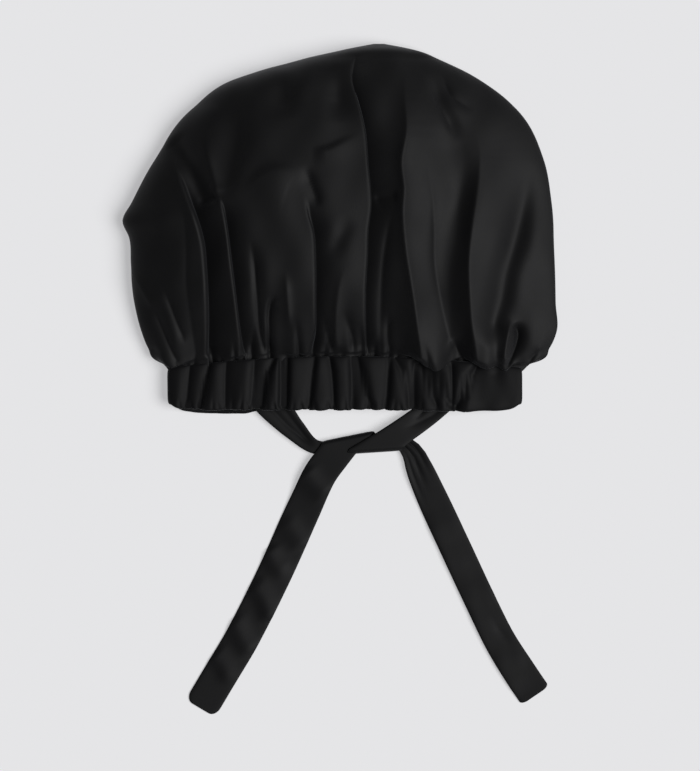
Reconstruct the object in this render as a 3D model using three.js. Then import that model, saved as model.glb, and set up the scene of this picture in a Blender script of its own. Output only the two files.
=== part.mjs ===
// A satin sleep bonnet laid flat on a table: a crown gathered into an elastic band, and two ties
// that are joined below it by a half knot. Millimetres, +Z up from the table, +Y from the mouth
// towards the top of the crown, with the origin on the table under the middle of the outline.
import * as THREE from "three";

const { clamp, degToRad, lerp, smoothstep } = THREE.MathUtils;

// Driving dimensions
const CROWN_WIDTH = 324; // across the crown's widest point
const CROWN_TOP = 251; // Y of the top of the crown
const CROWN_PUFF = 46; // height of the crown's middle above the table
const CLOTH = 1.5; // wall of the satin crown
const SEAM_Y = 16.5; // Y of the seam between crown and band, in the middle of the band
const SEAM_DIP = 8.5; // how far the seam drops towards the two ends of the band
const SEAM_GAP = 0.4; // clearance between the crown's rim and the band
const BAND_DEPTH = 39; // from the seam to the band's lower edge
const BAND_BACK_DROP = 3; // the band's back layer reaches this much lower than its front
const BAND_CORNER = 5; // rounding of the band's lower corners
const BAND_WALL = 3; // elastic with its casing, between the ruffles
const TIE_WIDTH = 25;
const TIE_THICKNESS = 1.2; // two layers of satin, turned and pressed
const TIE_PACKED = 2.6; // thickness of a tie gathered inside the knot
const REST_GAP = 0.05; // what lies on the table clears it by this much

// Mesh resolution
const CROWN_FRONT_COLUMNS = 60;
const CROWN_BACK_COLUMNS = 24;
const CROWN_STATIONS = 20;
const BAND_FRONT_COLUMNS = 84;
const BAND_BACK_COLUMNS = 44;
const HALF_WIDTH = CROWN_WIDTH / 2;

// The mouth, where crown and band meet. left and right are shares of half the crown's width,
// crest, edge and floor are shares of the puff: the top layer, the side fold and the bottom layer.
const MOUTH = { left: -0.778, right: 0.825, crest: 0.35, edge: 0.19, floor: 0.033 };

// Sections across the crown, from the seam to its top. up is the share of the way from the seam.
const CROWN_SECTIONS = [
  { up: 0.0, ...MOUTH },
  { up: 0.02, left: -0.85, right: 0.925, crest: 0.5, edge: 0.24, floor: 0.0 },
  { up: 0.06, left: -0.89, right: 0.972, crest: 0.66, edge: 0.28, floor: 0.0 },
  { up: 0.11, left: -0.92, right: 1.0, crest: 0.76, edge: 0.32, floor: 0.0 },
  { up: 0.2, left: -0.954, right: 0.994, crest: 0.88, edge: 0.35, floor: 0.0 },
  { up: 0.39, left: -0.972, right: 0.981, crest: 0.98, edge: 0.37, floor: 0.0 },
  { up: 0.51, left: -0.954, right: 0.972, crest: 1.0, edge: 0.37, floor: 0.0 },
  { up: 0.64, left: -0.86, right: 0.945, crest: 0.98, edge: 0.36, floor: 0.0 },
  { up: 0.8, left: -0.685, right: 0.815, crest: 0.88, edge: 0.34, floor: 0.0 },
  { up: 0.89, left: -0.49, right: 0.645, crest: 0.75, edge: 0.32, floor: 0.02 },
  { up: 0.95, left: -0.19, right: 0.465, crest: 0.6, edge: 0.3, floor: 0.08 },
  { up: 0.985, left: 0.04, right: 0.324, crest: 0.46, edge: 0.28, floor: 0.15 },
];
const CORNER = { up: 0.445, reach: 0.04, out: 7, inset: 0.75 }; // a fold pulled out at the left side
const CROWN_TIP = { x: 0.17 * HALF_WIDTH, z: 0.29 * CROWN_PUFF };

// Creases in the crown's top layer. foot, waist and head are places across, in shares of half the
// width, at the lower end, the middle and the upper end; low and high are shares of the way up.
// left and right are the widths of the crease's two slopes and depth is how far it sinks.
const CROWN_CREASES = [
  { foot: -0.71, waist: -0.82, head: -0.9, low: 0.0, high: 0.34, left: 10, right: 6, depth: 4 },
  { foot: -0.59, waist: -0.58, head: -0.8, low: 0.0, high: 0.7, left: 6, right: 8, depth: 8 },
  { foot: -0.45, waist: -0.5, head: -0.6, low: 0.0, high: 0.74, left: 4, right: 12, depth: 6 },
  { foot: -0.36, waist: -0.39, head: -0.42, low: 0.0, high: 0.36, left: 5, right: 7, depth: 4 },
  { foot: -0.1, waist: -0.1, head: -0.15, low: 0.0, high: 0.57, left: 4, right: 8, depth: 6 },
  { foot: 0.15, waist: 0.16, head: 0.09, low: 0.0, high: 0.93, left: 4, right: 13, depth: 7 },
  { foot: 0.31, waist: 0.26, head: 0.26, low: 0.0, high: 0.95, left: 9, right: 5, depth: 8 },
  { foot: 0.53, waist: 0.49, head: 0.42, low: 0.0, high: 0.82, left: 6, right: 9, depth: 10 },
  { foot: 0.75, waist: 0.8, head: 0.86, low: 0.0, high: 0.52, left: 9, right: 7, depth: 6 },
];
const CREASE_FADE = 0.22; // share of a crease's length over which it fades at its head
const SIDE_FADE = 0.9; // creases fade out beyond this share of the half width

// Tucks along the seam
const TUCKS = 20;
const TUCK_DEPTH = 4.5;
const TUCK_REACH = 26; // how far up the crown a tuck runs

// Creases across the front of the band: places across at the seam and at the lower edge, in
// shares of half the crown's width, and how deep each one is as a share of the ruffle's height.
const BAND_CREASES = [
  { top: -0.69, foot: -0.73, depth: 0.8 },
  { top: -0.61, foot: -0.67, depth: 1.0 },
  { top: -0.52, foot: -0.54, depth: 0.6 },
  { top: -0.41, foot: -0.36, depth: 1.0 },
  { top: -0.31, foot: -0.37, depth: 0.7 },
  { top: -0.255, foot: -0.265, depth: 1.0 },
  { top: -0.11, foot: -0.16, depth: 0.9 },
  { top: -0.04, foot: -0.03, depth: 1.0 },
  { top: 0.05, foot: 0.07, depth: 1.0 },
  { top: 0.11, foot: 0.16, depth: 0.8 },
  { top: 0.22, foot: 0.22, depth: 0.7 },
  { top: 0.26, foot: 0.32, depth: 1.0 },
  { top: 0.35, foot: 0.42, depth: 0.9 },
  { top: 0.41, foot: 0.49, depth: 0.8 },
  { top: 0.51, foot: 0.52, depth: 1.0 },
  { top: 0.64, foot: 0.54, depth: 1.0 },
];
const RUFFLE_HEIGHT = 2.6; // how far the casing stands off the elastic between creases
const RUFFLE_WIDTH = 3.5; // half width of a crease in the casing
const BACK_RUFFLES = 15; // the back layer's creases, pressed flat by the table
const BACK_RUFFLE_HEIGHT = 1.1;

// The ties. x and y are the tie's middle line in the plan before any fold, lift the height of that
// line and width the tie's width, which is less where it is gathered.
const TIE_LEFT = {
  route: [
    { x: -60, y: -13, lift: 4.4, width: 22 },
    { x: -50, y: -26, lift: 4.3, width: 21 },
    { x: -33.5, y: -44, lift: 3.6, width: 16 },
    { x: -17, y: -54.6, lift: 3.3, width: 10.8 },
    { x: 4, y: -50.4, lift: 3.35, width: 8.8 },
    { x: 28.5, y: -47.8, lift: 3.35, width: 9 },
    { x: 45, y: -47.2, lift: 3.3, width: 10 },
    { x: 55.5, y: -54.5, lift: 3.4, width: 13.5 },
    { x: 59.5, y: -68, lift: 3.2, width: 18.5 },
    { x: 67, y: -85, lift: 1.8, width: 22.5 },
    { x: 86, y: -126, lift: 0.8, width: 23.5 },
    { x: 108.5, y: -174, lift: 0.8, width: 23.5 },
    { x: 120.5, y: -198, lift: 0.8, width: 24 },
    { x: 135.5, y: -222, lift: 0.8, width: 25 },
    { x: 146, y: -237, lift: 0.8, width: 25 },
  ],
  rows: [
    { along: 0, slope: 0, step: 7 },
    { along: 340, slope: 0, step: 7 },
  ],
  ripples: { from: 150, pitch: 46, height: 1.6, slant: 0.5 },
};
const TIE_RIGHT = {
  route: [
    { x: 80.5, y: -12.5, lift: 4.4, width: 20 },
    { x: 65.6, y: -25.1, lift: 4.4, width: 20 },
    { x: 45, y: -40.5, lift: 6.7, width: 20 },
    { x: 26, y: -53.5, lift: 7.3, width: 20.5 },
    { x: 7, y: -65.5, lift: 7.3, width: 24 },
    { x: -8, y: -76.5, lift: 7.3, width: 25 },
    { x: -20.5, y: -86.5, lift: 6.4, width: 25 },
    { x: -41.5, y: -111, lift: 2.8, width: 26 },
    { x: -75.3, y: -151.5, lift: 2.4, width: 26 },
    { x: -111.5, y: -191, lift: 2.4, width: 26 },
    { x: -132, y: -210.5, lift: 2.4, width: 26 },
    { x: -151.2, y: -229, lift: 2.4, width: 26 },
  ],
  // The tie folds under along the first line, passes behind the other tie, and comes up through
  // the gap below the band to fold over to the front along the second line.
  folds: [
    { through: [27.5, -51.9], heading: 3.7, radius: 3.28, up: false },
    { through: [5.6, -46.6], heading: 11.5, radius: 2.45, up: true },
  ],
  // Rows of the mesh lie along the folds there, and square to the tie elsewhere. slope is how far
  // a row runs along the tie for each step across, and step the distance to the next row.
  rows: [
    { along: 0, slope: 0, step: 8 },
    { along: 40, slope: -1.4, step: 6 },
    { along: 54, slope: -1.66, step: 1.2 },
    { along: 76, slope: -1.66, step: 1.2 },
    { along: 84, slope: -1.25, step: 1.2 },
    { along: 106, slope: -1.22, step: 1.2 },
    { along: 118, slope: -1.1, step: 5 },
    { along: 160, slope: 0, step: 8 },
    { along: 340, slope: 0, step: 8 },
  ],
  ripples: { from: 165, pitch: 52, height: 1.8, slant: -0.6 },
};
const FOLD_STRETCH = 0.4; // share of a fold's half turn that the tie's own length gives to it

const SATIN = { color: 0x1c1c1e, roughness: 0.45, metalness: 0.0 };

// A value from one column of a table, on a smooth curve through its rows.
function along(rows, key, column, at) {
  const last = rows.length - 1;
  let i = 0;
  while (i < last - 1 && at > rows[i + 1][key]) i++;
  const slopeAt = (k) => {
    const a = rows[Math.max(k - 1, 0)];
    const b = rows[Math.min(k + 1, last)];
    return (b[column] - a[column]) / (b[key] - a[key]);
  };
  const span = rows[i + 1][key] - rows[i][key];
  const t = clamp((at - rows[i][key]) / span, 0, 1);
  const ease = t * t * (3 - 2 * t);
  const bend = t * (1 - t) * span;
  return (
    lerp(rows[i][column], rows[i + 1][column], ease) +
    bend * ((1 - t) * slopeAt(i) - t * slopeAt(i + 1))
  );
}

// A closed solid through rings of points. The rings close on each other, or end in two points.
function loft(rings, ends) {
  const columns = rings[0].length;
  const points = rings.flat();
  const faces = [];
  const spans = ends ? rings.length - 1 : rings.length;
  for (let r = 0; r < spans; r++) {
    const here = r * columns;
    const next = ((r + 1) % rings.length) * columns;
    for (let c = 0; c < columns; c++) {
      const d = (c + 1) % columns;
      faces.push(here + c, here + d, next + d, here + c, next + d, next + c);
    }
  }
  if (ends) {
    const first = points.push(ends[0]) - 1;
    const last = points.push(ends[1]) - 1;
    const lastRing = (rings.length - 1) * columns;
    for (let c = 0; c < columns; c++) {
      const d = (c + 1) % columns;
      faces.push(first, d, c, last, lastRing + c, lastRing + d);
    }
  }
  const geometry = new THREE.BufferGeometry().setFromPoints(points);
  geometry.setIndex(faces);
  geometry.computeVertexNormals();
  return geometry;
}

// One section's loop as points in X and Z, from the right side over the top layer to the left
// side and back along the bottom layer, which the table presses flat.
function sectionLoop(section, frontColumns, backColumns) {
  const left = section.left * HALF_WIDTH;
  const right = section.right * HALF_WIDTH;
  const middle = (left + right) / 2;
  const half = (right - left) / 2;
  const crest = section.crest * CROWN_PUFF;
  const edge = section.edge * CROWN_PUFF;
  const floor = section.floor * CROWN_PUFF;
  const samples = 48;
  const top = [];
  const bottom = [];
  for (let i = 0; i <= samples; i++) {
    const angle = (Math.PI * i) / samples;
    const share = Math.cos(angle);
    const dome = Math.sqrt(1 - Math.abs(share) ** 2.4);
    const dish = Math.min(1, 1.7 * Math.sin(angle));
    top.push(new THREE.Vector2(middle + half * share, lerp(edge, crest, dome)));
    bottom.push(new THREE.Vector2(middle - half * share, lerp(edge, floor, dish)));
  }
  const loop = new THREE.SplineCurve(top).getSpacedPoints(frontColumns).slice(0, -1);
  loop.push(...new THREE.SplineCurve(bottom).getSpacedPoints(backColumns).slice(0, -1));
  return loop.map((p, i) => ({
    x: p.x,
    z: Math.max(p.y, floor),
    share: (p.x - middle) / half,
    front: i <= frontColumns,
  }));
}

// Y of the seam at a place across it.
function seamY(share) {
  return SEAM_Y - SEAM_DIP * share * share;
}

// How far a crease with two slopes sinks at a signed distance from its line.
function crease(off, left, right, depth) {
  return depth * Math.exp(-Math.abs(off) / (off < 0 ? left : right));
}

function crownCreases(x, up) {
  let sink = 0;
  for (const row of CROWN_CREASES) {
    const t = (up - row.low) / (row.high - row.low);
    if (t > 1) continue;
    const lower = lerp(row.foot, row.waist, t);
    const upper = lerp(row.waist, row.head, t);
    const line = lerp(lower, upper, t) * HALF_WIDTH;
    const fade = 1 - smoothstep(t, 1 - CREASE_FADE, 1);
    sink += fade * crease(x - line, row.left, row.right, row.depth);
  }
  return sink;
}

// Tucks sink most at the seam and die out up the crown. Their spacing wanders a little.
function crownTucks(x, above) {
  const phase = (x / CROWN_WIDTH) * TUCKS + 0.35 * Math.sin(x / 19);
  const wave = 0.5 - 0.5 * Math.cos(2 * Math.PI * phase);
  return TUCK_DEPTH * wave * wave * Math.exp(-above / TUCK_REACH);
}

function crownRing(up) {
  const columns = ["left", "right", "crest", "edge", "floor"];
  const section = Object.fromEntries(
    columns.map((c) => [c, along(CROWN_SECTIONS, "up", c, up)]),
  );
  section.floor = Math.max(section.floor, 0);
  return sectionLoop(section, CROWN_FRONT_COLUMNS, CROWN_BACK_COLUMNS).map((p) => {
    const seam = seamY(p.share) + SEAM_GAP;
    const y = lerp(seam, CROWN_TOP, up);
    const calm = 1 - smoothstep(Math.abs(p.share), SIDE_FADE, 1);
    const rise = smoothstep(up, 0, 0.06);
    const sink = crownCreases(p.x, up) + crownTucks(p.x, y - seam);
    const pull = Math.exp(-Math.abs(up - CORNER.up) / CORNER.reach);
    const out = CORNER.out * pull * smoothstep(-p.share, CORNER.inset, 1);
    return new THREE.Vector3(p.x - out, y, p.z - (p.front ? calm * rise * sink : 0));
  });
}

// The inner skin of a wall: each point moved in, square to the surface of the rings.
function innerRings(rings, wall, tip) {
  return rings.map((ring, r) =>
    ring.map((p, c) => {
      const before = ring[(c + ring.length - 1) % ring.length];
      const after = ring[(c + 1) % ring.length];
      const below = rings[Math.max(r - 1, 0)][c];
      const above = r + 1 < rings.length ? rings[r + 1][c] : tip;
      const around = after.clone().sub(before);
      const upward = above.clone().sub(below);
      const inward = around.cross(upward).normalize();
      return p.clone().addScaledVector(inward, wall);
    }),
  );
}

function crownGeometry() {
  const rings = [];
  for (let i = 0; i < CROWN_STATIONS; i++) {
    const t = i / (CROWN_STATIONS - 1);
    const up = 0.985 * (t < 0.5 ? 2 ** 0.35 * t ** 1.35 : 1 - (1 - t) ** 1.35 * 2 ** 0.35);
    rings.push(crownRing(up));
  }
  const tip = new THREE.Vector3(CROWN_TIP.x, CROWN_TOP, CROWN_TIP.z);
  const inner = innerRings(rings, CLOTH, tip);
  inner.forEach((ring, r) => ring.forEach((p, c) => {
    if (r === 0) p.y = rings[0][c].y;
  }));
  const innerTip = tip.clone().setY(CROWN_TOP - CLOTH);
  return loft([...rings.reverse(), ...inner], [tip, innerTip]);
}

// How far the casing stands out from the elastic at a place on the band.
function ruffle(p, down) {
  if (!p.front) {
    const wave = Math.sin(Math.PI * BACK_RUFFLES * (p.share + 0.06 * down));
    return BACK_RUFFLE_HEIGHT * wave * wave;
  }
  let stand = 1;
  for (const row of BAND_CREASES) {
    const line = lerp(row.top, row.foot, down) * HALF_WIDTH;
    stand -= crease(p.x - line, RUFFLE_WIDTH, RUFFLE_WIDTH, row.depth);
  }
  return RUFFLE_HEIGHT * clamp(stand, 0, 1);
}

// The band's own section, round the casing from the lower edge up the outside and down the inside.
// down is the share of the way from the seam, out is the share of the ruffle, wall of half the wall.
const BAND_SECTION = [
  { down: 1.0, out: 0.15, wall: 0.4 },
  { down: 0.9, out: 0.8, wall: 1.0 },
  { down: 0.5, out: 1.0, wall: 1.0 },
  { down: 0.12, out: 0.8, wall: 1.0 },
  { down: 0.0, out: 0.1, wall: 0.5 },
  { down: 0.06, out: 0.0, wall: -1.0 },
  { down: 0.94, out: 0.0, wall: -1.0 },
];

function bandGeometry() {
  const loop = sectionLoop(MOUTH, BAND_FRONT_COLUMNS, BAND_BACK_COLUMNS);
  const rings = loop.map((p, c) => {
    const before = loop[(c + loop.length - 1) % loop.length];
    const after = loop[(c + 1) % loop.length];
    const out = new THREE.Vector2(after.z - before.z, before.x - after.x).normalize();
    const corner = BAND_CORNER * Math.abs(p.share) ** 30;
    const drop = p.front ? 0 : BAND_BACK_DROP * (1 - p.share ** 8);
    const lowest = SEAM_Y - BAND_DEPTH - drop + corner;
    return BAND_SECTION.map((s) => {
      const scallop = 0.5 * ruffle(p, s.down) * s.down * s.down;
      const depth = seamY(p.share) - lowest + scallop;
      const stand = (s.wall * BAND_WALL) / 2 + s.out * ruffle(p, s.down);
      const z = p.z + out.y * stand;
      return new THREE.Vector3(
        p.x + out.x * stand,
        seamY(p.share) - s.down * depth,
        Math.max(z, REST_GAP),
      );
    });
  });
  return loft(rings);
}

// A tie's line: its points, headings, lift and width at any distance from its sewn end.
function tieLine(tie) {
  const curve = new THREE.CatmullRomCurve3(
    tie.route.map((row) => new THREE.Vector3(row.x, row.y, 0)),
  );
  curve.arcLengthDivisions = 800;
  const lengths = curve.getLengths();
  const rows = tie.route.map((row, i) => {
    const share = i / (tie.route.length - 1);
    return { ...row, along: lengths[Math.round(share * curve.arcLengthDivisions)] };
  });
  const length = curve.getLength();
  const at = (s) => {
    const share = clamp(s / length, 0, 1);
    return {
      point: curve.getPointAt(share),
      ahead: curve.getTangentAt(share),
      lift: along(rows, "along", "lift", s),
      width: along(rows, "along", "width", s),
    };
  };
  return { length, at };
}

// A point carried round a fold line: past the line it turns round a small radius and runs back.
function turnOver(point, fold) {
  const heading = degToRad(fold.heading);
  const normal = new THREE.Vector2(-Math.sin(heading), Math.cos(heading));
  if (!fold.up) normal.negate();
  const past = (point.x - fold.through[0]) * normal.x + (point.y - fold.through[1]) * normal.y;
  if (past <= 0) return point;
  const halfTurn = FOLD_STRETCH * Math.PI * fold.radius;
  const angle = Math.PI * Math.min(past / halfTurn, 1);
  const reach = fold.radius * Math.sin(angle) - Math.max(past - halfTurn, 0);
  const rise = fold.radius * (1 - Math.cos(angle)) * (fold.up ? 1 : -1);
  return new THREE.Vector3(
    point.x + (reach - past) * normal.x,
    point.y + (reach - past) * normal.y,
    point.z + rise,
  );
}

// The middle surface of a tie at a distance from its sewn end and a distance across. A fold is
// only reached through the one before it.
function tieSurface(tie, line, s, across) {
  const here = line.at(s);
  const { from, pitch, height, slant } = tie.ripples;
  const wave = 0.5 - 0.5 * Math.cos((2 * Math.PI * (s - from + slant * across)) / pitch);
  const ripple = height * wave * smoothstep(s, from, from + pitch);
  let point = new THREE.Vector3(
    here.point.x - across * here.ahead.y,
    here.point.y + across * here.ahead.x,
    here.lift + ripple,
  );
  for (const fold of tie.folds ?? []) {
    const turned = turnOver(point, fold);
    if (turned === point) break;
    point = turned;
  }
  return point;
}

// The tie as a strip with thinned edges. Where it is gathered narrow it is thicker, with the same
// amount of cloth in each section until it is packed tight.
function tieGeometry(tie) {
  const line = tieLine(tie);
  const section = [
    { across: -1, side: 0.45 },
    { across: -0.88, side: 1 },
    { across: 0.88, side: 1 },
    { across: 1, side: 0.45 },
  ];
  const loopOf = [
    ...section.map((e) => ({ across: e.across, side: -e.side })),
    ...section.map((e) => ({ across: e.across, side: e.side })).reverse(),
  ];
  const small = 0.2;
  const last = line.length - small;
  const stations = [0];
  while (stations.at(-1) < last) {
    const s = stations.at(-1);
    stations.push(Math.min(s + along(tie.rows, "along", "step", s), last));
  }
  const rings = stations.map((s) => {
    const { width } = line.at(s);
    const slope = along(tie.rows, "along", "slope", s);
    const thick = Math.min((TIE_THICKNESS * TIE_WIDTH) / width, TIE_PACKED);
    return loopOf.map((e) => {
      const across = (e.across * width) / 2;
      const here = clamp(s + across * slope, 0, last);
      const at = tieSurface(tie, line, here, across);
      const ahead = tieSurface(tie, line, here + small, across).sub(at);
      const aside = tieSurface(tie, line, here, across + small).sub(at);
      const normal = ahead.cross(aside).normalize();
      const skin = at.addScaledVector(normal, (e.side * thick) / 2);
      return skin.setZ(Math.max(skin.z, REST_GAP));
    });
  });
  const middle = (ring) =>
    ring.reduce((sum, p) => sum.add(p), new THREE.Vector3()).divideScalar(ring.length);
  return loft(rings, [middle(rings[0]), middle(rings.at(-1))]);
}

function piece(name, geometry) {
  const mesh = new THREE.Mesh(geometry, new THREE.MeshStandardMaterial(SATIN));
  mesh.name = name;
  return mesh;
}

const bonnet = new THREE.Group();
bonnet.add(
  piece("crown", crownGeometry()),
  piece("band", bandGeometry()),
  piece("tie_left", tieGeometry(TIE_LEFT)),
  piece("tie_right", tieGeometry(TIE_RIGHT)),
);

export default bonnet;
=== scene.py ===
"""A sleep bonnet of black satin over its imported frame: a puffed crown gathered into an elastic band,
and two ties crossed in a loose half knot. It lies flat on a pale floor."""

import math
import random
from typing import NamedTuple

import bpy
import numpy as np
from bpy.props import FloatProperty, FloatVectorProperty, PointerProperty
from bpy.types import Operator, Panel, PropertyGroup
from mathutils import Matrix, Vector


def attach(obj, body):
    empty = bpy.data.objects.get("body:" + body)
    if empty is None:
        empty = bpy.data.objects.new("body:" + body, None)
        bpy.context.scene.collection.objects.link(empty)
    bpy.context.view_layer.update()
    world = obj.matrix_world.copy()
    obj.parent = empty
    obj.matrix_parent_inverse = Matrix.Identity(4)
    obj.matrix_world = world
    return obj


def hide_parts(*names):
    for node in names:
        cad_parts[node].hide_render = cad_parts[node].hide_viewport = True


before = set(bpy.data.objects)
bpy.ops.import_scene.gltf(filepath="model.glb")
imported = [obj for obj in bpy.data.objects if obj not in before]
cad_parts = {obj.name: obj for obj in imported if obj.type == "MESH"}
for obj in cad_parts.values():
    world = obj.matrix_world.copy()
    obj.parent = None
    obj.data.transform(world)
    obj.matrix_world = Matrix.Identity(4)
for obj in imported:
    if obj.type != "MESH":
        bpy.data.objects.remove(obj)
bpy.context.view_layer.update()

bl_info = {
    "name": "Satin Sleep Bonnet",
    "version": (1, 0, 0),
    "blender": (4, 5, 0),
    "location": "3D View > Sidebar > Bonnet",
    "description": "Builds a sleep bonnet with a gathered crown, an elastic band and two ties",
    "category": "Add Mesh",
}

MM = 0.001  # the tables below are in millimetres, Blender in metres

# Places of the seam between crown and band, and what lies on the table
SEAM_Y = 16.5
SEAM_DIP = 8.5
REST_GAP = 0.05


class Section(NamedTuple):
    """A section across the crown: up is a share of the way to the top, left and right are shares of
    the half width, and crest, edge and floor are shares of the puff."""

    up: float
    left: float
    right: float
    crest: float
    edge: float
    floor: float


class Fold(NamedTuple):
    """A fold along a line from its foot to its head: rise is its height, below zero for a crease, left
    and right are how far its slopes run, and foot and head are the shares of its length that fade. A soft
    fold is round, and under is how far the cloth on its right is drawn beneath the cloth on its left."""

    line: list
    rise: float
    left: float
    right: float
    foot: float = 0.0
    head: float = 0.3
    soft: bool = False
    under: float = 0.0


class Waves(NamedTuple):
    """Low wrinkles: the seed of their draws, their height, and the ranges of their lengths."""

    seed: int
    height: float
    across: tuple
    lengthwise: tuple


class Lobe(NamedTuple):
    """How far the crown bulges down over the band at a place across it."""

    x: float
    reach: float


class Turn(NamedTuple):
    """A line across a tie where it folds over, up or down, round a small radius."""

    x: float
    y: float
    heading: float
    radius: float
    up: bool


class Stop(NamedTuple):
    """A point on a tie's way: lift is the height of its middle, width what is left of it there."""

    x: float
    y: float
    lift: float
    width: float


class Pace(NamedTuple):
    """Spacing of a tie's rows at a distance along it, and how far they slant across it."""

    along: float
    slope: float
    step: float


MOUTH = Section(0.0, -0.778, 0.825, 0.35, 0.19, 0.033)
CROWN_SECTIONS = [
    MOUTH,
    Section(0.02, -0.85, 0.925, 0.41, 0.18, 0),
    Section(0.06, -0.89, 0.972, 0.53, 0.19, 0),
    Section(0.11, -0.92, 1.005, 0.66, 0.2, 0),
    Section(0.2, -0.954, 1, 0.84, 0.21, 0),
    Section(0.32, -0.97, 0.996, 0.95, 0.22, 0),
    Section(0.4, -0.978, 0.991, 0.99, 0.22, 0),
    Section(0.455, -1.008, 0.988, 1, 0.22, 0),
    Section(0.51, -0.966, 0.981, 1, 0.22, 0),
    Section(0.64, -0.86, 0.945, 0.98, 0.22, 0),
    Section(0.8, -0.685, 0.815, 0.88, 0.21, 0),
    Section(0.89, -0.49, 0.645, 0.73, 0.2, 0),
    Section(0.95, -0.19, 0.465, 0.56, 0.2, 0.03),
    Section(0.985, 0.04, 0.324, 0.4, 0.22, 0.09),
    Section(1, 0.155, 0.205, 0.22, 0.2, 0.18),
]

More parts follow.
